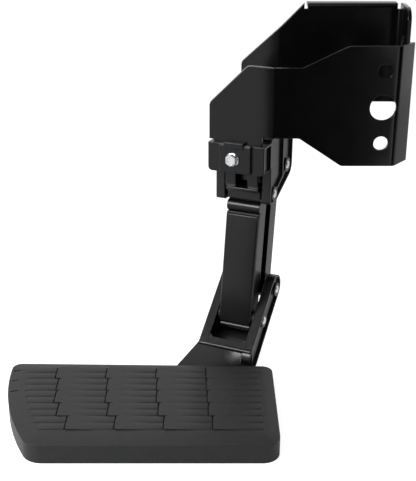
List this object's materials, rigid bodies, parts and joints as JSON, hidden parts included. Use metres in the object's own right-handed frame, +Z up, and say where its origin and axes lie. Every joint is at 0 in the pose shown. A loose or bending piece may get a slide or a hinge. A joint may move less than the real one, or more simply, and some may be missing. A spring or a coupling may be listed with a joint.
{
  "type": "retractable bed step",
  "caption": "Folding step for a pickup bed: a ribbed moulded tread pad on a pair of parallel swing arms under a bent two-plate frame bracket.",
  "frame": {"origin": "centre of the front plate's middle hole, on its front face", "axes": "+X right along the pad, +Y back to the vehicle, +Z up; the step is folded out"},
  "size_m": [0.487, 0.3504, 0.4485],
  "materials": {
    "bracket_steel": "satin black powder coat",
    "casting": "black coated die casting",
    "zinc": "zinc plated",
    "pin_steel": "bright turned",
    "spring_steel": "drawn wire",
    "bumper": "matte",
    "bush": "matte",
    "frame_alloy": "black coated",
    "pad_plastic": "moulded, matte"
  },
  "bodies": {
    "frame_bracket": {"front_plate": "bracket_steel", "rear_plate": "bracket_steel", "hinge_housing": "casting", "front_clamp_bolt": "zinc", "rear_clamp_bolts": "zinc", "upper_front_pin": "pin_steel", "upper_rear_pin": "pin_steel", "stop_bumpers": "bumper", "hold_spring": "spring_steel"},
    "front_arm": {"front_arm": "casting", "front_arm_upper_bushes": "bush", "front_arm_lower_bushes": "bush"},
    "rear_arm": {"rear_arm": "casting", "rear_arm_upper_bushes": "bush", "rear_arm_lower_bushes": "bush"},
    "step": {"step_carrier": "casting", "lower_front_pin": "pin_steel", "lower_rear_pin": "pin_steel", "step_frame": "frame_alloy", "foot_bolts": "zinc", "step_pad": "pad_plastic", "pad_screws": "zinc"}
  },
  "joints": [
    {"name": "fold", "type": "hinge", "parent": "frame_bracket", "child": "front_arm", "pos_m": [-0.1545, 0.0526, -0.1195], "axis": [0.915, -0.4035, 0], "range_deg": [0, 92]},
    {"name": "rear_arm_swing", "type": "hinge", "parent": "frame_bracket", "child": "rear_arm", "pos_m": [-0.13594, 0.09469, -0.0945], "axis": [0.915, -0.4035, 0], "range_deg": [0, 92], "deforming": ["hold_spring"]},
    {"name": "step_level", "type": "hinge", "parent": "front_arm", "child": "step", "pos_m": [-0.16544, 0.0278, -0.285], "axis": [0.915, -0.4035, 0], "range_deg": [-92, 0]}
  ],
  "couplings": [
    {"joint": "rear_arm_swing", "follows": "fold", "ratio": 1},
    {"joint": "step_level", "follows": "fold", "ratio": -1}
  ]
}
